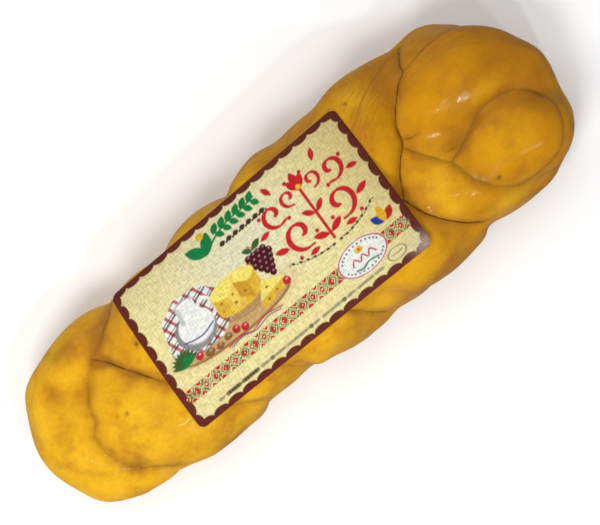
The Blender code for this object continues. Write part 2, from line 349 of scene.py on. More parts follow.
def fine_copy(node):
    """A dense copy of a CAD node with its facets smoothed away."""
    skin = add_object("cheese_skin", node.data.copy())
    fuse = skin.modifiers.new("Fine mesh", "REMESH")
    fuse.mode = "VOXEL"
    fuse.voxel_size = VOXEL * MM
    soften = skin.modifiers.new("Soften", "SMOOTH")
    soften.iterations = FACET_SMOOTHING
    bpy.context.view_layer.update()
    fine = bpy.data.meshes.new_from_object(skin.evaluated_get(bpy.context.evaluated_depsgraph_get()))
    skin.modifiers.clear()
    skin.data = fine
    fine.materials.clear()
    return skin


class Form:
    """Places of a mesh's points in millimetres, with the few moves that the skin needs."""

    def __init__(self, mesh):
        self.mesh = mesh
        self.co = self.read(mesh.vertices, "co", 3) / MM
        pairs = self.read(mesh.edges, "vertices", 2, int)
        self.start = np.concatenate([pairs[:, 0], pairs[:, 1]])
        self.end = np.concatenate([pairs[:, 1], pairs[:, 0]])
        self.valence = np.bincount(self.start, minlength=len(self.co))

    @staticmethod
    def read(things, name, width, kind=float):
        values = np.empty(len(things) * width, np.float32 if kind is float else np.int32)
        things.foreach_get(name, values)
        return values.reshape(-1, width).astype(kind)

    def write(self):
        self.mesh.vertices.foreach_set("co", (self.co * MM).astype(np.float32).ravel())
        self.mesh.update()

    def normals(self):
        self.write()
        return self.read(self.mesh.vertex_normals, "vector", 3)

    def mean(self, values):
        """Average of each vertex's neighbours."""
        columns = values.reshape(len(self.co), -1)
        total = [np.bincount(self.start, weights=columns[self.end, i], minlength=len(self.co))
                 for i in range(columns.shape[1])]
        return (np.stack(total, 1) / self.valence[:, None]).reshape(values.shape)

    def blur(self, values, steps):
        for _ in range(steps):
            values = 0.5 * values + 0.5 * self.mean(values)
        return values

    def fill_valleys(self, steps):
        """Moves outward only, so that ridges stay and valleys rise. Returns the rise."""
        before = self.co.copy()
        normal = self.normals()
        for step in range(steps):
            if step % FRESH_NORMALS == 0:
                normal = self.normals()
            rise = ((self.mean(self.co) - self.co) * normal).sum(1)
            self.co += np.maximum(rise, SINKING * rise)[:, None] * normal
        return ((self.co - before) * normal).sum(1)

    def layer(self, name, values):
        layer = self.mesh.attributes.new(name, "FLOAT", "POINT")
        layer.data.foreach_set("value", values.astype(np.float32))

    def tree(self):
        """Search tree of the mesh, in millimetres."""
        return BVHTree.FromPolygons(self.co.tolist(), [tuple(face.vertices) for face in self.mesh.polygons])

    def nearness(self, x, y, radius):
        """1 at a spot seen from above, falling away smoothly around it."""
        return np.exp(-((self.co[:, 0] - x) ** 2 + (self.co[:, 1] - y) ** 2) / radius ** 2)

    def beside(self, line, margin):
        """Points within a box around a line, their distances from it and the nearest places on it."""
        co = self.co[:, :line.shape[1]]
        near = np.nonzero(((co > line.min(0) - margin) & (co < line.max(0) + margin)).all(1))[0]
        reach = np.linalg.norm(co[near, None] - line[None], axis=2)
        return near, reach.min(1), reach.argmin(1)


def project(points, tree):
    """Where sight lines through points at the middle height meet the skin."""
    eye = Vector((*CAMERA_XY, CAMERA_HEIGHT))
    hits = []
    for x, y in points:
        way = (Vector((x, y, MIDDLE_HEIGHT)) - eye).normalized()
        place = tree.ray_cast(eye, way)[0]
        if place is not None:
            hits.append(place)
    return hits


def line_on_skin(points, tree):
    """A smooth line through points seen from above, laid on the skin."""
    return np.array([tuple(hit) for hit in project(smooth_line(points), tree)])


def directions(line):
    """Unit steps along a line."""
    way = np.gradient(line, axis=0)
    return way / (np.linalg.norm(way, axis=1)[:, None] + TINY)


def meets(points, end):
    """Whether that end of a crease runs into another crease."""
    others = [crease[-1] for crease in CREASES.values() if crease[-1] is not points]
    return any(math.dist(points[end], place) < MEETING for other in others for place in other)


def cut_creases(form, tree, sink):
    """Grooves between the strands, with the distances that draw the painted shade in them: a dark line and a
    brown band beside each.
    """
    normal = form.normals()
    side, nearest = np.full((2, CHANNELS, len(sink)), FAR)
    dark = np.zeros((CHANNELS, len(sink)))
    crease_shade = np.zeros(len(sink))
    for channel, depth, reach, darkness, width, brown, points in CREASES.values():
        line = line_on_skin(points, tree)
        near, distance, index = form.beside(line, CREASE_MARGIN * reach)
        along = directions(line)[index]
        away = form.co[near] - line[index]
        last = len(line) - 1
        past_end = np.abs((away * along).sum(1)) * ((index == 0) | (index == last))
        sign = np.where((np.cross(along, away) * normal[near]).sum(1) < 0, -1, 1)
        start, end = (float(meets(points, end)) for end in (0, -1))
        taper = np.clip(np.minimum(index / END_FADE + start, (last - index) / END_FADE + end), 0, 1)
        beside = ramp(past_end, reach, 0)
        groove = depth * taper * np.exp(-distance / (SHOULDER_FALL * reach)) * beside
        sink[near] = np.maximum(sink[near], groove)
        # Painted shade: the brown band beside the crease
        crease_shade[near] = np.maximum(crease_shade[near], brown * np.exp(-(distance / HALO_REACH) ** HALO_POWER) * beside)
        closer = distance < nearest[channel, near]
        here = near[closer]
        nearest[channel, here] = distance[closer]
        side[channel, here] = (distance * sign)[closer] / width
        # Painted shade: how dark the line in the crease is
        dark[channel, here] = (darkness * taper * (past_end < END_SLACK))[closer]
    for i in range(CHANNELS):
        form.layer("crease_%d" % i, side[i])
        form.layer("crease_dark_%d" % i, dark[i])
    form.layer("crease_shade", crease_shade)


def raise_film_folds(form, tree, sink):
    """Fine ridges of the film, with the distances that draw the painted glints along them."""
    far, shown = np.full(len(sink), FAR), np.zeros(len(sink))
    for height, width, strength, points in FILM_FOLDS:
        line = line_on_skin(points, tree)
        near, distance, index = form.beside(line, FOLD_MARGIN)
        sink[near] -= height * np.exp(-(distance / FOLD_WIDTH) ** 2)
        closer = distance / width < far[near]
        far[near[closer]] = (distance / width)[closer]
        ends = ramp(np.minimum(index, len(line) - 1 - index), 0, FOLD_FADE)
        # Strength of the painted glint along the fold
        shown[near[closer]] = (strength * ends)[closer]
    form.layer("glint_line_far", far)
    form.layer("film", shown)


def press_pits(form, tree, sink):
    """Small pits, with the shares that darken them."""
    dark = np.zeros(len(sink))
    for x, y, radius, depth, darkness in PITS:
        for place in project([(x, y)], tree):
            distance = np.linalg.norm(form.co - np.array(place), axis=1)
            blob = np.exp(-(distance / radius) ** 2)
            sink += depth * blob
            dark = np.maximum(dark, darkness * blob)
    form.layer("pit", dark)


def tint_patches(form, tree):
    """Shares of the browner patches, smoke stains and painted shade, and of the paler ones, lighter smoke and
    painted light.
    """
    for name, spots in (("stain_and_shade", STAIN_AND_SHADE_PATCHES), ("pale", PALE_AND_LIT_SPOTS)):
        total = np.zeros(len(form.co))
        for x, y, size_x, size_y, strength in spots:
            for place in project([(x, y)], tree):
                away = (form.co - np.array(place)) / (size_x, size_y, PATCH_HEIGHT * max(size_x, size_y))
                total += strength * np.exp(-(away ** 2).sum(1))
        form.layer(name, total)


def carve(form):
    """Creases, film folds and pits in the pressed skin, with what the shader needs to tint them."""
    tree = form.tree()
    normal = form.normals()
    sink = np.zeros(len(form.co))
    cut_creases(form, tree, sink)
    raise_film_folds(form, tree, sink)
    press_pits(form, tree, sink)
    tint_patches(form, tree)
    form.co -= sink[:, None] * normal


def draw_fibres(form, upward):
    """Lengthwise and crosswise places in each family of fibres, for the shader's streaks."""
    along, across, shown = np.zeros((3, len(upward)))
    for half_width, strength, points in FIBRES:
        line = smooth_line(points, FIBRE_STEP)
        near, _, index = form.beside(line, half_width)
        way = directions(line)[index]
        away = form.co[near, :2] - line[index]
        forward = (away * way).sum(1)
        sideways = way[:, 0] * away[:, 1] - way[:, 1] * away[:, 0]
        edge = ramp(np.abs(sideways), half_width, 0.5 * half_width)
        end = ramp(np.abs(forward), *FIBRE_PAST) * ramp(np.minimum(index, len(line) - index), 0, FIBRE_FADE)
        here = strength * edge * end * ramp(upward[near], *FIBRE_UPWARD)
        better = here > shown[near]
        shown[near[better]] = here[better]
        along[near[better]] = (index * FIBRE_STEP + forward)[better]
        across[near[better]] = sideways[better]
    form.layer("fibre", shown)
    form.layer("fibre_along", along)
    form.layer("fibre_across", across)


def painted_flank_shade(form, upward):
    """Share of painted shade on steep flanks: strongest on the near side, none at the plain end."""
    x, y = form.co[:, 0], form.co[:, 1]
    side = np.maximum(ramp(y, *FLANK_SIDES), FLANK_LEAST)
    return ramp(upward, STEEP_FLANK, 0) * ramp(x, *FLANK_START) * side


def label_tree():
    """Search tree of the CAD label."""
    return Form(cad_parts["label"].data).tree()


def paper_over(tree, x, y):
    """How high the cheese may be at a place for the paper's sake, and whether the paper covers it."""
    middle_x, middle_y = LABEL_MIDDLE
    for pull, slack in PAPER_SEARCH:
        inner_x, inner_y = middle_x + (x - middle_x) * pull, middle_y + (y - middle_y) * pull
        for place_x, place_y in ((inner_x, y), (x, inner_y), (inner_x, inner_y)):
            place = tree.ray_cast(Vector((place_x, place_y, BELOW_PAPER)), Vector((0, 0, 1)))[0]
            if place is not None:
                return place.z + slack, pull == 1
    return math.inf, False


def rest_label(form, tree):
    """Lifts the skin towards the paper where it bridges a valley, and keeps it under the paper."""
    lift = np.zeros(len(form.co))
    ceiling = np.full(len(form.co), np.inf)
    for i in np.nonzero(form.co[:, 2] > PAPER_ZONE)[0]:
        x, y, z = form.co[i]
        height, covered = paper_over(tree, x, y)
        ceiling[i] = height - PAPER_CLEARANCE
        if covered:
            lift[i] = LABEL_LIFT * max(ceiling[i] - z, 0)
    form.co[:, 2] += form.blur(lift, LIFT_BLUR)
    form.co[:, 2] = np.minimum(form.co[:, 2], ceiling)


def make_cheese():
    """A fine skin over the CAD cheese: pressed, creased, tinted and kept under the label."""
    skin = fine_copy(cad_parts["cheese"])
    form = Form(skin.data)
    before = form.co.copy()
    rise = form.blur(form.fill_valleys(PRESS_STEPS), RISE_BLUR)
    kept = np.full(len(rise), VALLEY_KEPT)
    for x, y, radius in FLUSH:
        kept *= 1 - FLUSH_SHARE * form.nearness(x, y, radius)
    form.co -= (kept * rise)[:, None] * form.normals()
    sideways = form.normals()[:, :2]
    for x, y, radius, reach in BULGES:
        form.co[:, :2] += (reach * form.nearness(x, y, radius))[:, None] * sideways
    shine = sum(strength * form.nearness(x, y, radius) for x, y, radius, strength in SHINE)
    carve(form)
    upward = form.normals()[:, 2]
    # Painted shade: darker in deep valleys, more so where they are steep
    form.layer("valley", ramp(rise, 0, DEEP_VALLEY) * (1 + ramp(upward, STEEP_VALLEY, 0)))
    # Painted shade on steep flanks
    form.layer("flank", painted_flank_shade(form, upward))
    form.layer("shine", shine)
    draw_fibres(form, upward)
    base = before[:, 2] < BASE_LIP
    form.co[base, 2] = before[base, 2]
    form.co[:, 2] = np.maximum(form.co[:, 2], 0)
    rest_label(form, label_tree())
    form.write()
    skin.data.shade_smooth()
    skin.data.materials.append(cheese_look())
    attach(skin, "root")
    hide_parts("cheese")


def cheese_look():
    """Smoked cheese: waxy amber with browner patches, painted shade in valleys, creases and on flanks, and
    painted glints on the film's folds, under a tight glossy film.
    """
    n = Look("smoked_cheese_look")
    place = n.add("TexCoord").outputs["Object"]
    axes = n.add("SeparateXYZ", {0: place}).outputs

    # Yellow to amber, cloudy, paler at the plain end, and with painted shade darker on the far side
    to_knot = n.spread(axes["X"], -0.06, 0.1, 0, 1)
    cloud = n.noise(place, 34, 4, 0.55)
    patch = n.noise(place, 85, 5, 0.62)
    mottle = n.noise(place, 240, 4, 0.6)
    grain = n.noise(place, 900, 3, 0.6)
    yellow = n.mix(to_knot, YELLOW_PLAIN_END, YELLOW_KNOT_END)
    amber = n.mix(to_knot, AMBER_PLAIN_END, AMBER_KNOT_END)
    # Painted shade: the far side (+Y) is darker, as if turned away from the light
    smoke_and_far_shade = n.plus(n.spread(cloud, 0.38, 0.66, 0, 0.5), n.spread(axes["Y"], -0.03, 0.04, 0, 0.18))
    smoke_and_far_shade = n.plus(smoke_and_far_shade, n.spread(patch, 0.4, 0.68, -0.15, 0.45), clamp=True)
    base = n.mix(smoke_and_far_shade, yellow, amber)
    base = n.mix(n.spread(mottle, 0.45, 0.72, 0, 0.3), base, amber)
    base = n.mix(n.spread(patch, 0.54, 0.72, 0, 0.55), base, SMOKE_AND_SHADE_BROWN)

    # Paler and browner patches, partly painted light and shade, and painted shade in valleys, beside creases
    # and on flanks
    brown = n.plus(n.layer("stain_and_shade"), n.layer("crease_shade"))
    brown = n.plus(brown, n.times(n.layer("valley"), 0.35))
    brown = n.plus(brown, n.times(n.layer("flank"), 0.45))
    pale = n.times(n.layer("pale"), n.spread(patch, 0.3, 0.7, 1.1, 0.6), clamp=True)
    base = n.mix(pale, base, PALE_AND_LIT_CHEESE)
    base = n.mix(n.times(brown, n.spread(patch, 0.3, 0.62, 0.55, 1.25), clamp=True), base, SMOKE_AND_SHADE_BROWN)
    base = n.mix(n.spread(grain, 0.42, 0.7, 0, 0.15), base, SMOKE_AND_SHADE_BROWN)

    # Fibres
    threads = {0: n.times(n.layer("fibre_along"), 0.05), 1: n.times(n.layer("fibre_across"), 0.8)}
    streak = n.noise(n.add("CombineXYZ", threads).outputs[0], 2.2, 4, 0.65)
    fibre = n.layer("fibre")
    base = n.mix(n.times(fibre, n.spread(streak, 0.46, 0.66, 0, 0.9)), base, SMOKE_AND_SHADE_BROWN)
    base = n.mix(n.times(fibre, n.spread(streak, 0.48, 0.32, 0, 0.35)), base, yellow)

    # Dark pits, painted shade in the creases, and painted glints along the folds of the film
    dark = n.layer("pit")
    for i in range(CHANNELS):
        far = n.math("ABSOLUTE", n.layer("crease_%d" % i))
        line = n.spread(far, 0.15, 1, 1, 0)
        shade = n.spread(far, 0.6, 3.2, 0.22, 0)
        strength = n.times(n.layer("crease_dark_%d" % i), n.spread(mottle, 0.3, 0.6, 0.6, 1.1))
        dark = n.math("MAXIMUM", dark, n.times(strength, n.plus(line, shade), clamp=True))
    base = n.mix(dark, base, CREASE)
    # Painted glints along the raised folds of the film
    fold_glint = n.times(n.layer("film"), n.spread(n.layer("glint_line_far"), 0, 1, 1, 0))
    base = n.mix(n.times(fold_glint, n.spread(mottle, 0.42, 0.6, 0.1, 0.8)), base, FOLD_GLINT)

    # A skin with fine grain under the wavy film
    gloss = n.spread(n.noise(place, 40, 2, 0.4), 0.38, 0.62, 0.1, 0.32)
    skin = n.bump(mottle, 0.0004, 0.35)
    skin = n.bump(grain, 0.00008, 0.6, skin)
    skin = n.bump(n.times(streak, fibre), 0.0003, 0.5, skin)
    film = n.bump(n.noise(place, 60, 2, 0.4), 0.0016, 0.3, skin)
    film = n.bump(n.noise(place, 300, 2, 0.5), 0.0004, 0.35, film)
    n.fill(n.shader, {
        "Base Color": base,
        "Roughness": n.spread(mottle, 0.3, 0.7, 0.36, 0.5),
        "Normal": skin,
        "Subsurface Weight": 0.12,
        "Subsurface Radius": (1, 0.55, 0.12),
        "Subsurface Scale": 0.004,
        "Specular IOR Level": 0.03,
        "Coat Weight": n.plus(gloss, n.times(n.layer("shine"), 0.3), clamp=True),
        "Coat Roughness": 0.1,
        "Coat IOR": 1.45,
        "Coat Normal": film,
    })
    return n.material


# ==== label
def linear(red, green, blue):
    """An 8-bit screen colour in linear light."""
    screen = np.array([red, green, blue]) / 255
    return np.where(screen <= 0.04045, screen / 12.92, ((screen + 0.055) / 1.055) ** 2.4)


BROWN = linear(104, 42, 32)
CREAM = linear(236, 222, 158)
PALE = linear(226, 222, 190)
WARM = linear(216, 190, 122)
RED = linear(196, 38, 42)
OLIVE = linear(112, 120, 70)
GREEN = linear(22, 128, 66)
LEAF = linear(58, 96, 48)
WINE = linear(84, 18, 30)
INK = linear(64, 52, 40)
GREY = linear(150, 140, 112)
WHITE = linear(238, 238, 232)
SHADE = linear(178, 176, 172)
MILK = linear(250, 248, 240)
DARK_CHECK = linear(48, 36, 40)
CHEESE_TOP = linear(244, 224, 112)
CHEESE_LIT = linear(240, 206, 92)
CHEESE_SIDE = linear(222, 178, 58)
CHEESE_CUT = linear(206, 156, 48)
CHEESE_HOLE = linear(172, 126, 40)
GLARE_PALE = linear(206, 190, 178)
WOOD = linear(204, 168, 112)
WOOD_EDGE = linear(160, 118, 70)
NUT = linear(150, 98, 52)
BLUE = linear(40, 62, 150)
GOLD = linear(232, 182, 40)
PAPER_EDGE = linear(206, 196, 176)

EDGE = 0.26  # how soft a printed edge is
BORDER_BAND = 1.2
SCALLOP_DEPTH = 1.65
SCALLOP_PITCH = 6.25
BAND_MIDDLE = 12.3  # cross-stitch band: middle, half height, pitch, stitch
BAND_HALF = 2.45
BAND_PITCH = 4.2
STITCH = 0.34
BAND_END = 1.4  # where the band stops short of the paper's ends


class Print:
    """Flat inks laid over each other on the points of the label, in its own millimetres."""

    def __init__(self, u, v, colour):
        self.u, self.v, self.colour = u, v, colour

    def at(self, u, v):
        """The same print, with places counted from another point."""
        return Print(self.u - u, self.v - v, self.colour)

    def ink(self, colour, cover):
        """Lays a colour over what is there, as far as it covers."""
        cover = np.clip(cover, 0, 1)[:, None]
        self.colour[:] = self.colour * (1 - cover) + np.asarray(colour) * cover

    def inside(self, distance):
        """Cover of a shape from its signed distance, positive inside."""
        return np.clip(0.5 + distance / EDGE, 0, 1)

    def turned(self, u, v, turn):
        """Places along and across a direction, counted from a point."""
        c, s = math.cos(math.radians(turn)), math.sin(math.radians(turn))
        du, dv = self.u - u, self.v - v
        return du * c + dv * s, dv * c - du * s

    def disc(self, colour, u, v, wide, high, turn=0, strength=1):
        along, across = self.turned(u, v, turn)
        reach = np.hypot(along / wide, across / high)
        self.ink(colour, strength * self.inside((1 - reach) * min(wide, high)))

    def ring(self, colour, u, v, wide, high, thick):
        """The rim of an oval."""
        reach = np.hypot((self.u - u) / wide, (self.v - v) / high)
        self.ink(colour, self.inside(thick / 2 - np.abs(1 - reach) * min(wide, high)))

    def ball(self, colour, u, v, wide, high=None, light=0.45):
        """A round thing with a soft light on its upper side."""
        high = high or wide
        self.disc(np.asarray(colour) * 0.6, u, v, wide, high)
        self.disc(colour, u + 0.06 * wide, v + 0.1 * high, wide * 0.86, high * 0.86)
        self.disc(np.asarray(colour) * (1 - light) + light, u + 0.25 * wide, v + 0.35 * high,
                  wide * 0.34, high * 0.28, strength=0.8)

    def polygon_cover(self, points):
        """Cover of the shape inside a closed row of points."""
        points = np.array(points, float)
        distance = np.full(len(self.u), np.inf)
        within = np.zeros(len(self.u), bool)
        for (au, av), (bu, bv) in zip(points, np.roll(points, -1, 0)):
            du, dv = bu - au, bv - av
            t = np.clip(((self.u - au) * du + (self.v - av) * dv) / (du * du + dv * dv + TINY), 0, 1)
            distance = np.minimum(distance, np.hypot(self.u - au - t * du, self.v - av - t * dv))
            crosses = (av > self.v) != (bv > self.v)
            safe = dv if abs(dv) > TINY else TINY
            within ^= crosses & (self.u < au + (self.v - av) * du / safe)
        return self.inside(np.where(within, distance, -distance))

    def polygon(self, colour, points, strength=1):
        self.ink(colour, strength * self.polygon_cover(points))

    def stroke(self, colour, points, thick, thin=None, strength=1):
        """A line through points, thick where it goes up and thin where it goes along."""
        row = smooth_line(points, 0.5)
        thin = thick if thin is None else thin
        low, high = row.min(0) - thick, row.max(0) + thick
        near = np.nonzero((self.u > low[0]) & (self.u < high[0]) & (self.v > low[1]) & (self.v < high[1]))[0]
        u, v = self.u[near], self.v[near]
        best = np.full(len(near), -FAR)
        for (au, av), (bu, bv) in zip(row, row[1:]):
            du, dv = bu - au, bv - av
            length = math.hypot(du, dv) + TINY
            t = np.clip(((u - au) * du + (v - av) * dv) / length ** 2, 0, 1)
            half = (thin + (thick - thin) * abs(dv) / length) / 2
            best = np.maximum(best, half - np.hypot(u - au - t * du, v - av - t * dv))
        cover = np.zeros(len(self.u))
        cover[near] = self.inside(best)
        self.ink(colour, strength * cover)

    def leaf(self, colour, u, v, length, turn, wide=0.38):
        """A pointed leaf from its foot."""
        along, across = (part / length for part in self.turned(u, v, turn))
        half = wide * 0.5 * np.sin(np.pi * np.clip(along, 0, 1)) ** 0.8
        inside = np.where((along > 0) & (along < 1), half - np.abs(across), -1) * length
        self.ink(colour, self.inside(inside))


def print_ground(p):
    """Pale glow over the cream ground, and a warmer knot end."""
    glow = np.exp(-((p.u - 47) / 26) ** 2 - ((p.v - 42) / 17) ** 2)
    p.ink(PALE, 0.85 * glow)
    p.ink(WARM, 0.75 * ramp(p.u, 66, LABEL_LENGTH) ** 1.2 * ramp(p.v, 6, 36))


def print_border(p):
    """Brown border with scallops along its inner edge."""
    for near, along, length in (
            (np.minimum(p.u, LABEL_LENGTH - p.u), p.v, LABEL_WIDTH),
            (np.minimum(p.v, LABEL_WIDTH - p.v), p.u, LABEL_LENGTH)):
        pitch = length / round(length / SCALLOP_PITCH)
        phase = 2 * ((along / pitch) % 1) - 1
        bulge = SCALLOP_DEPTH * np.sqrt(np.clip(1 - phase ** 2, 0, 1))
        p.ink(BROWN, p.inside(BORDER_BAND + bulge - near))


def shade_knot_end(p):
    """The whole print darkens a little towards the knot end."""
    p.colour *= (1 - 0.22 * ramp(p.u, 70, LABEL_LENGTH) ** 2)[:, None]


def print_band(p):
    """Cross-stitch band of a diamond lattice with red eyes and chevrons."""
    u = (np.floor(p.u / STITCH) + 0.5) * STITCH
    v = (np.floor((p.v - BAND_MIDDLE) / STITCH) + 0.5) * STITCH
    a = np.abs((u % BAND_PITCH) - BAND_PITCH / 2)
    b = np.abs(v)
    band = (b < BAND_HALF) & (p.u > BAND_END) & (p.u < LABEL_LENGTH - BAND_END)
    diamond = a + b
    corner = (BAND_PITCH / 2 - a) + (BAND_HALF - b)
    lattice = ((diamond > 1.45) & (diamond < 2)) | ((diamond > 2.3) & (diamond < 2.75)) | (diamond > 3)
    p.ink(OLIVE, band & lattice & (corner > 1.6))
    p.ink(RED, band & (diamond > 0.4) & (diamond < 1.2))
    p.ink(RED, band & (corner > 0.5) & (corner < 1.35))
    p.ink(OLIVE, band & (corner < 0.3))


def print_sprig(p):
    """Green vine with a yellow bud over a dark chain of lozenges."""
    p.stroke(GREEN, [(31, 50), (36, 47.6), (41, 50.4), (48, 52.4), (55, 52.6), (60, 53.4)], 0.9, 0.7)
    p.leaf(GREEN, 36.6, 47.4, 9, 140, 0.5)
    p.leaf(GREEN, 35.8, 47.2, 8.6, 62, 0.5)
    for i in range(6):
        foot = 41.5 + 3.2 * i
        p.leaf(GREEN, foot, 51.8 + 0.15 * i, 4.6, 50, 0.58)
        p.leaf(GREEN, foot + 0.8, 52 + 0.15 * i, 4, -48, 0.58)
    p.disc(GOLD, 37.2, 54.8, 1.5, 1.5)
    for i in range(7):
        p.leaf(INK, 41.2 + 2.9 * i, 46.6, 2.6, 18, 0.72)
        p.disc(INK, 43.9 + 2.9 * i, 46.5, 0.42, 0.42)


def volute(u, v, size, turn, hand):
    """Points of a curl that winds in from its foot."""
    points = []
    for i in range(11):
        angle = math.radians(turn) + hand * i * 0.62
        reach = size * (1 - i / 12.5)
        points.append((u + reach * math.cos(angle), v + reach * math.sin(angle)))
    return points


def print_ornament(p):
    """Red folk ornament, the same on both sides of its stem: curls, leaves, a tulip and beads."""
    p = p.at(74.5, 37.5)
    p.stroke(RED, [(0, -14), (0, -6), (0, 2), (0, 7)], 1.1)
    for side in (-1, 1):
        for du, dv, size, foot, thick in (
                (8.6, -5.4, 6.2, 250, 2), (12.6, 5.6, 5, 235, 1.8), (5, 7, 3.4, 262, 1.4)):
            turn = foot if side > 0 else 180 - foot
            p.stroke(RED, volute(side * du, dv, size, turn, side), thick, thick * 0.4)
        for du, dv, length, turn in (
                (0.4, -12, 6, 24), (0.4, -3.4, 5, 38), (14.4, -7.4, 5.6, 18), (16.6, 2, 4.6, -12),
                (9, 11.6, 5, 66), (5.6, -13.2, 4.6, -6)):
            p.leaf(RED, side * du, dv, length, turn if side > 0 else 180 - turn, 0.42)
        for du, dv in ((3.4, -8.4), (13, -12.4), (8.6, 1.2), (17.4, 7.4), (3.2, 11.6)):
            p.disc(RED, side * du, dv, 0.75, 0.75)
        for i in range(7):
            p.disc(INK, side * (1.6 + 2.5 * i), -15.8 + 0.1 * i * i, 0.75, 0.42, side * 6 * i)
            p.disc(INK, side * (2.9 + 2.5 * i), -15.6 + 0.1 * i * i, 0.28, 0.28)
    for turn, length in ((58, 6), (122, 6), (90, 7.2)):
        p.leaf(RED, 0, 6.6, length, turn, 0.46)
    p.disc(GOLD, 0, 7.6, 1, 0.9)


def print_cloth(p):
    """Checked cloth with a white jug of milk on it."""
    cloth = p.polygon_cover([(6.5, 27), (9.5, 38.5), (17, 42.5), (27, 41.5), (32.5, 36), (33, 26),
                             (25, 21.8), (13, 21.5)])
    p.ink(WHITE, cloth)
    across = (p.u + 0.45 * p.v) % 3.6
    down = (p.v - 0.35 * p.u) % 3.6
    p.ink(RED, 0.85 * cloth * (across < 1.25))
    p.ink(DARK_CHECK, 0.8 * cloth * ((down < 0.8) | ((down > 1.3) & (down < 1.7))))
    p.ball(SHADE, 18.5, 29.5, 7.8, 6.8, 0.9)
    p.disc(WHITE, 19.2, 30.4, 6.8, 5.6)
    p.polygon(WHITE, [(15, 33), (15.8, 39.6), (23.2, 39.6), (23, 33)])
    p.polygon(SHADE, [(15, 33), (15.8, 39.6), (17.2, 39.6), (16.6, 33)], 0.6)
    p.disc(SHADE, 19.5, 39.6, 3.8, 1)
    p.disc(MILK, 19.5, 39.4, 3, 0.7)
    p.ring(WHITE, 25.6, 33.2, 2.8, 3.6, 1)
    p.stroke(BLUE, [(12.4, 28), (16, 26.9), (20, 26.6), (24.8, 28)], 0.5)


def print_cheeses(p):
    """A cut wheel of cheese with a wedge before it."""
    p.disc(WOOD_EDGE, 1.4, -2.6, 10.2, 3.2, strength=0.5)
    p.disc(CHEESE_SIDE, 0, 0, 9.2, 3.2)
    p.polygon(CHEESE_SIDE, [(-9.2, 0), (-9.2, 6.4), (9.2, 6.4), (9.2, 0)])
    p.polygon(CHEESE_LIT, [(-5, -2.4), (-5, 6), (1.5, 6), (1.5, -3)], 0.4)
    p.disc(CHEESE_TOP, 0, 6.4, 9.2, 3.1)
    p.polygon(CHEESE_CUT, [(0.2, 6.6), (5, 3.8), (5, -2.6), (0.2, 0.6)])
    p.polygon(CHEESE_LIT, [(0.2, 6.6), (-3.4, 3.6), (-3.4, -2.9), (0.2, 0.6)])
    p.polygon(CHEESE_TOP, [(4.6, -5.4), (16.6, -3.2), (8.6, 0.8)])
    p.polygon(CHEESE_SIDE, [(4.6, -5.4), (16.6, -3.2), (16.6, -5.6), (4.9, -8.4)])
    for du, dv, size in (
            (7.6, -6.2, 0.6), (11.6, -5.2, 0.45), (9.2, -2.4, 0.5), (-6.6, 3, 0.5), (-2.2, 0.2, 0.6),
            (-1.6, 3.2, 0.45), (2.6, 1.4, 0.5), (-7.4, 0.4, 0.4)):
        p.disc(CHEESE_HOLE, du, dv, size * 1.2, size)


def print_grapes(p):
    """A bunch of dark grapes under two leaves."""
    for row, count in enumerate((4, 5, 4, 3, 2, 1)):
        for i in range(count):
            p.ball(WINE, 2.1 * (i - (count - 1) / 2) + 0.3 * row, -1.75 * row, 1.25, light=0.25)
    p.stroke(NUT, [(0.2, 1), (-0.2, 2.8), (-1.4, 3.8)], 0.4)
    p.leaf(LEAF, -0.2, 1.8, 4.6, 24, 0.5)
    p.leaf(LEAF, -0.2, 1.6, 4, 152, 0.5)


def print_table(p):
    """Still life on a board: cloth and jug, cheeses, grapes, herbs, small red fruit and nuts."""
    for spread, strength in ((1.25, 0.12), (1.12, 0.18)):
        p.disc(WOOD, 31, 22.6, 24 * spread, 5.6 * spread, strength=strength)
    p.disc(WOOD_EDGE, 31, 21.8, 23, 4.6)
    p.disc(WOOD, 31, 22.6, 22.7, 4.4)
    for i in range(5):
        grain = [(12 + 3 * i, 20 + 0.9 * i), (28 + 3 * i, 19.4 + i), (44 + i, 20.2 + 0.9 * i)]
        p.stroke(WOOD_EDGE, grain, 0.22, strength=0.5)
    print_cloth(p)
    print_grapes(p.at(49.6, 36.6))
    print_cheeses(p.at(37, 27.6))
    for turn in range(20, 180, 16):
        p.leaf(LEAF, 9, 21.6, 5.6, turn, 0.3)
        p.leaf(GREEN, 9.6, 21.2, 3.8, turn + 8, 0.26)
    for u, v in ((14.2, 21.4), (29.6, 20.6), (32.6, 19.4), (53, 22.6)):
        p.ball(RED, u, v, 1.45)
    for u, v, wide in ((18, 20.2, 1.9), (22, 19.6, 1.5), (26, 20.4, 1.6)):
        p.ball(NUT, u, v, wide, wide * 0.75, 0.3)
    p.stroke(RED, [(24, 17), (29, 18), (34, 16.4), (40, 18), (47, 16.8)], 0.6, 0.4)
    p.stroke(BLUE, [(25, 16.5), (30, 17.2), (35, 15.9), (41, 17.1), (46, 16.2)], 0.35)


def print_badge(p):
    """White oval with a thin red rim, a flower, a red wave and a green arc."""
    u, v = 78.3, 12.3
    p.disc(WHITE, u, v, 9.9, 6.2)
    p.ring(RED, u, v, 9.5, 5.8, 0.35)
    for i in range(30):
        turn = 2 * math.pi * i / 30
        if abs(math.sin(turn)) > 0.28:
            p.disc(INK, u + 8.1 * math.cos(turn), v + 4.7 * math.sin(turn), 0.34, 0.34)
    for i in range(6):
        turn = math.pi * i / 3
        p.disc(GOLD, 78.5 + 1.05 * math.cos(turn), 15 + 0.75 * math.sin(turn), 0.62, 0.5)
    p.disc(RED, 78.5, 15, 0.45, 0.4)
    wave = [(73.6 + 1.6 * i, 11.1 + 1.9 * (i % 2)) for i in range(7)]
    p.stroke(RED, wave, 0.6, 0.3)
    p.stroke(GREEN, [(73.8, 9.3), (76.3, 8.7), (79.3, 9.6), (82.9, 9)], 0.75, 0.55)


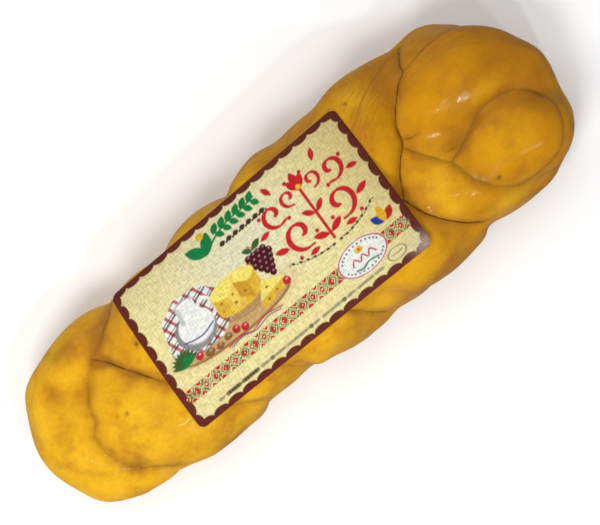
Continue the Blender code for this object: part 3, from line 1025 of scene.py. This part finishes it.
def print_small_marks(p):
    """Dashes where small print would be, a grey oval and a three-petalled flower."""
    u = 11
    for length, colour in (
            (2.2, GREY), (5.4, INK), (6.8, INK), (3, GREY), (0.5, INK), (3.8, GREY), (8.6, GREY),
            (0.5, INK), (2.4, GREY), (7.4, GREY), (0.5, INK), (3, GREY), (6.4, GREY), (3.2, GREY)):
        for start in np.arange(u, u + length - 0.2, 1.15):
            thick = 1.5 if colour is INK else 1.15
            p.stroke(colour, [(start, 4.5), (min(start + 0.6, u + length), 4.5)], thick, strength=0.8)
        u += length + 1.3
    p.ring(GREY, 88.4, 5.6, 3.6, 2.1, 0.35)
    p.stroke(GREY, [(86.4, 5.6), (90.4, 5.6)], 0.7, 0.7, strength=0.6)
    p.leaf(BLUE, 91.2, 16.8, 5.2, 138, 0.55)
    p.leaf(RED, 92, 16.8, 5.2, 42, 0.55)
    p.leaf(GOLD, 91.6, 16.6, 6.2, 90, 0.5)


def print_corner_glare(p):
    """Painted glare: a pale streaky sheen on the film over the corner at the knot end."""
    lines = 0.5 + 0.5 * np.sin(3.1 * p.u + 7.3 * p.v + 2 * np.sin(1.7 * p.u))
    patch = np.exp(-((p.u - 97.5) / 4.5) ** 2 - ((p.v - 2) / 3.6) ** 2)
    p.ink(GLARE_PALE, 0.75 * patch * (0.35 + 0.65 * lines))


def paint_label(u, v):
    """Colour of the whole print at places on the flat paper."""
    p = Print(u, v, np.tile(CREAM, (len(u), 1)))
    for draw in (print_ground, print_band, print_table, print_sprig, print_ornament, print_badge,
                 print_small_marks, print_border, shade_knot_end, print_corner_glare):
        draw(p)
    return p.colour


def paper_grid():
    """Close points all over the flat paper, drawn in at its round corners."""
    columns = round(LABEL_LENGTH / LABEL_STEP) + 1
    rows = round(LABEL_WIDTH / LABEL_STEP) + 1
    half = np.array([[LABEL_LENGTH], [LABEL_WIDTH]]) / 2
    grid = np.meshgrid(np.linspace(0, LABEL_LENGTH, columns), np.linspace(0, LABEL_WIDTH, rows))
    place = np.reshape(grid, (2, -1)) - half
    past = np.maximum(np.abs(place) - half + LABEL_ROUND, 0)
    reach = np.hypot(*past)
    outer = (past.min(0) > 0) & (reach > LABEL_ROUND)
    drawn_in = past * np.where(outer, 1 - LABEL_ROUND / np.maximum(reach, TINY), 0)
    u, v = place - np.sign(place) * drawn_in + half
    return u, v, np.arange(rows * columns).reshape(rows, columns)


def paper_on_arch(tree, u, v):
    """Places on the CAD label's top for places on the flat paper."""
    near_left, near_right, far_right, far_left = np.array(LABEL_CORNERS)
    s = (u / LABEL_LENGTH)[:, None]
    t = arc_share(tree)(v / LABEL_WIDTH)[:, None]
    plan = (near_left * (1 - s) + near_right * s) * (1 - t) + (far_left * (1 - s) + far_right * s) * t
    return np.column_stack([plan, [label_height(tree, x, y) for x, y in plan]])


def make_label():
    """A fine sheet on the CAD label's top, with its rim, printed point by point."""
    u, v, index = paper_grid()
    top = paper_on_arch(label_tree(), u, v)
    rim = np.concatenate([index[0, :-1], index[:-1, -1], index[-1, :0:-1], index[:0:-1, 0]])
    lower = top[rim] - (0, 0, LABEL_THICKNESS)
    under = len(top) + np.arange(len(rim))
    quads = np.stack([index[:-1, :-1], index[:-1, 1:], index[1:, 1:], index[1:, :-1]], -1).reshape(-1, 4)
    sides = np.stack([rim, under, np.roll(under, -1), np.roll(rim, -1)], 1)
    mesh = bpy.data.meshes.new("label_print")
    mesh.from_pydata((np.vstack([top, lower]) * MM).tolist(), [], np.vstack([quads, sides]).tolist())
    colour = np.vstack([paint_label(u, v), np.tile(PAPER_EDGE, (len(rim), 1))])
    layer = mesh.color_attributes.new("print", "FLOAT_COLOR", "POINT")
    layer.data.foreach_set("color", np.hstack([colour, np.ones((len(colour), 1))]).astype(np.float32).ravel())
    flat = np.stack([np.append(u, u[rim]), np.append(v, v[rim])], 1) / LABEL_LENGTH
    corners = np.empty(len(mesh.loops), np.int32)
    mesh.loops.foreach_get("vertex_index", corners)
    mesh.uv_layers.new(name="flat").data.foreach_set("uv", flat[corners].astype(np.float32).ravel())
    mesh.shade_smooth()
    mesh.materials.append(label_look())
    label = add_object("label_print", mesh)
    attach(label, "root")
    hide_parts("label")


def label_height(tree, x, y):
    """Height of the CAD label's top at a place, found a little inward at its very edge."""
    middle_x, middle_y = LABEL_MIDDLE
    for pull in RIM_SEARCH:
        above = Vector((middle_x + (x - middle_x) * pull, middle_y + (y - middle_y) * pull, ABOVE_PAPER))
        place = tree.ray_cast(above, Vector((0, 0, -1)))[0]
        if place is not None:
            return place.z
    return math.nan


def arc_share(tree):
    """Turns a share of the paper's width into a share of the plan's width, along its arch."""
    shares = np.linspace(0.001, 0.999, ARC_SAMPLES)
    low, high = LABEL_CORNERS[0][1], LABEL_CORNERS[2][1]
    y = low + (high - low) * shares
    z = np.array([label_height(tree, LABEL_MIDDLE[0], b) for b in y])
    arc = np.concatenate([[0], np.cumsum(np.hypot(np.diff(y), np.diff(z)))])
    arc /= arc[-1]
    return lambda share: np.interp(share, arc, np.linspace(0, 1, ARC_SAMPLES))


def label_look():
    """Printed paper with a fine canvas weave under a satin varnish."""
    n = Look("label_paper_look")
    flat = n.add("UVMap", uv_map="flat").outputs[0]
    threads = []
    for stretch in ((36, 190, 1), (190, 36, 1)):
        drawn = n.add("Mapping", {"Vector": flat, "Scale": stretch}).outputs[0]
        threads.append(n.noise(drawn, 1, 1, 0.5))
    weave = n.plus(*threads)
    toned = {0: n.layer("print", "Color"), "Scale": n.spread(weave, 0.76, 1.24, 0.66, 0.89)}
    n.fill(n.shader, {
        "Base Color": n.add("VectorMath", toned, operation="SCALE").outputs[0],
        "Roughness": n.spread(n.noise(flat, 90, 3, 0.7), 0.3, 0.7, 0.4, 0.52),
        "Specular IOR Level": 0.12,
        "Normal": n.bump(weave, 0.00006, 0.5),
    })
    return n.material


# ==== stage
def area_light(name, place, target, size, power, mirrored):
    """A rectangular lamp that looks at its target, seen in the film only where mirrored."""
    lamp = bpy.data.lights.new(name, "AREA")
    lamp.shape = "RECTANGLE"
    lamp.size, lamp.size_y = size
    lamp.energy = power
    light = add_object(name, lamp)
    light.location = place
    light.rotation_euler = (Vector(target) - Vector(place)).to_track_quat("-Z", "Y").to_euler()
    light.visible_glossy = mirrored


def make_stage():
    """A plain pale floor, a dim white surround and soft studio lamps."""
    mesh = bpy.data.meshes.new("floor")
    shape = bmesh.new()
    bmesh.ops.create_grid(shape, x_segments=1, y_segments=1, size=FLOOR_SIZE)
    shape.to_mesh(mesh)
    shape.free()
    floor = add_object("floor", mesh)
    floor.location.z = -FLOOR_DROP
    floor.visible_glossy = False
    pale = Look("pale_floor")
    pale.fill(pale.shader, {"Base Color": FLOOR_COLOUR, "Roughness": 0.9, "Specular IOR Level": 0.1})
    mesh.materials.append(pale.material)

    world = bpy.data.worlds.new("studio")
    world.use_nodes = True
    background = world.node_tree.nodes["Background"]
    background.inputs["Color"].default_value = SKY_COLOUR
    background.inputs["Strength"].default_value = SKY_STRENGTH
    bpy.context.scene.world = world
    for name, settings in LAMPS.items():
        area_light(name, *settings)
    bpy.context.scene.view_settings.view_transform = "Standard"


def make_camera():
    """A camera almost straight above, turned so that the plait runs up to the right."""
    lens = bpy.data.cameras.new("camera")
    lens.sensor_width = SENSOR
    lens.lens = PIXELS_PER_MM * (CAMERA_HEIGHT - MIDDLE_HEIGHT) / IMAGE_WIDTH * SENSOR
    lens.clip_start = 0.01
    camera = add_object("camera", lens)
    camera.location = Vector((*CAMERA_XY, CAMERA_HEIGHT)) * MM
    camera.rotation_euler = (0, 0, math.radians(CAMERA_ROLL))
    bpy.context.scene.camera = camera


make_camera()
make_stage()
make_cheese()
make_label()
